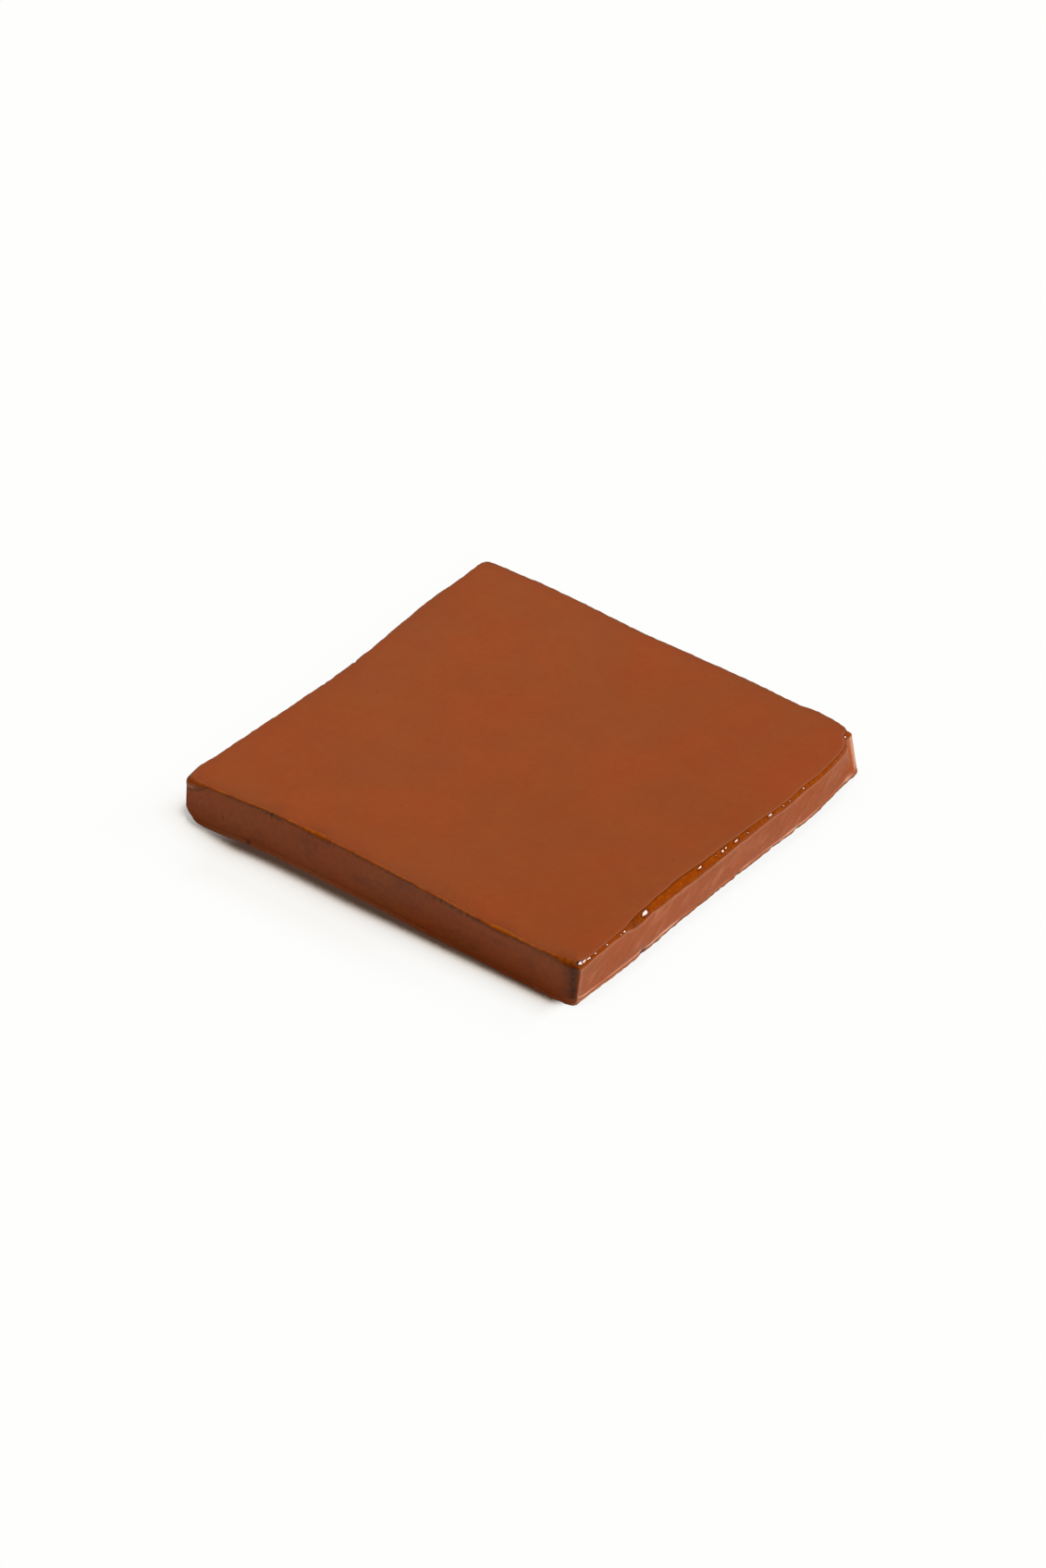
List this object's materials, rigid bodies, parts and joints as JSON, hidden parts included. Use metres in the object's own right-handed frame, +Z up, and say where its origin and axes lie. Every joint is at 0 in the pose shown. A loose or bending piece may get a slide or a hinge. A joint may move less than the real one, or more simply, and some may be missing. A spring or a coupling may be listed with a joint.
{
  "type": "glazed ceramic tile",
  "caption": "Square hand-cut clay tile with a gently wavy glazed face, rolled arrises, slightly bowed and leaning sides, and a flat unglazed underside that arches up a little along the front edge.",
  "frame": {"origin": "on the floor, under the middle of the tile's overall box", "axes": "+Z up out of the glazed face; +X and +Y along the two cut directions, with -Y and +X the two sides that the picture shows"},
  "size_m": [0.1046, 0.1012, 0.0115],
  "materials": {
    "glaze": "glossy amber-brown glaze over red clay"
  },
  "bodies": {
    "root": {"tile": "glaze"}
  },
  "joints": []
}
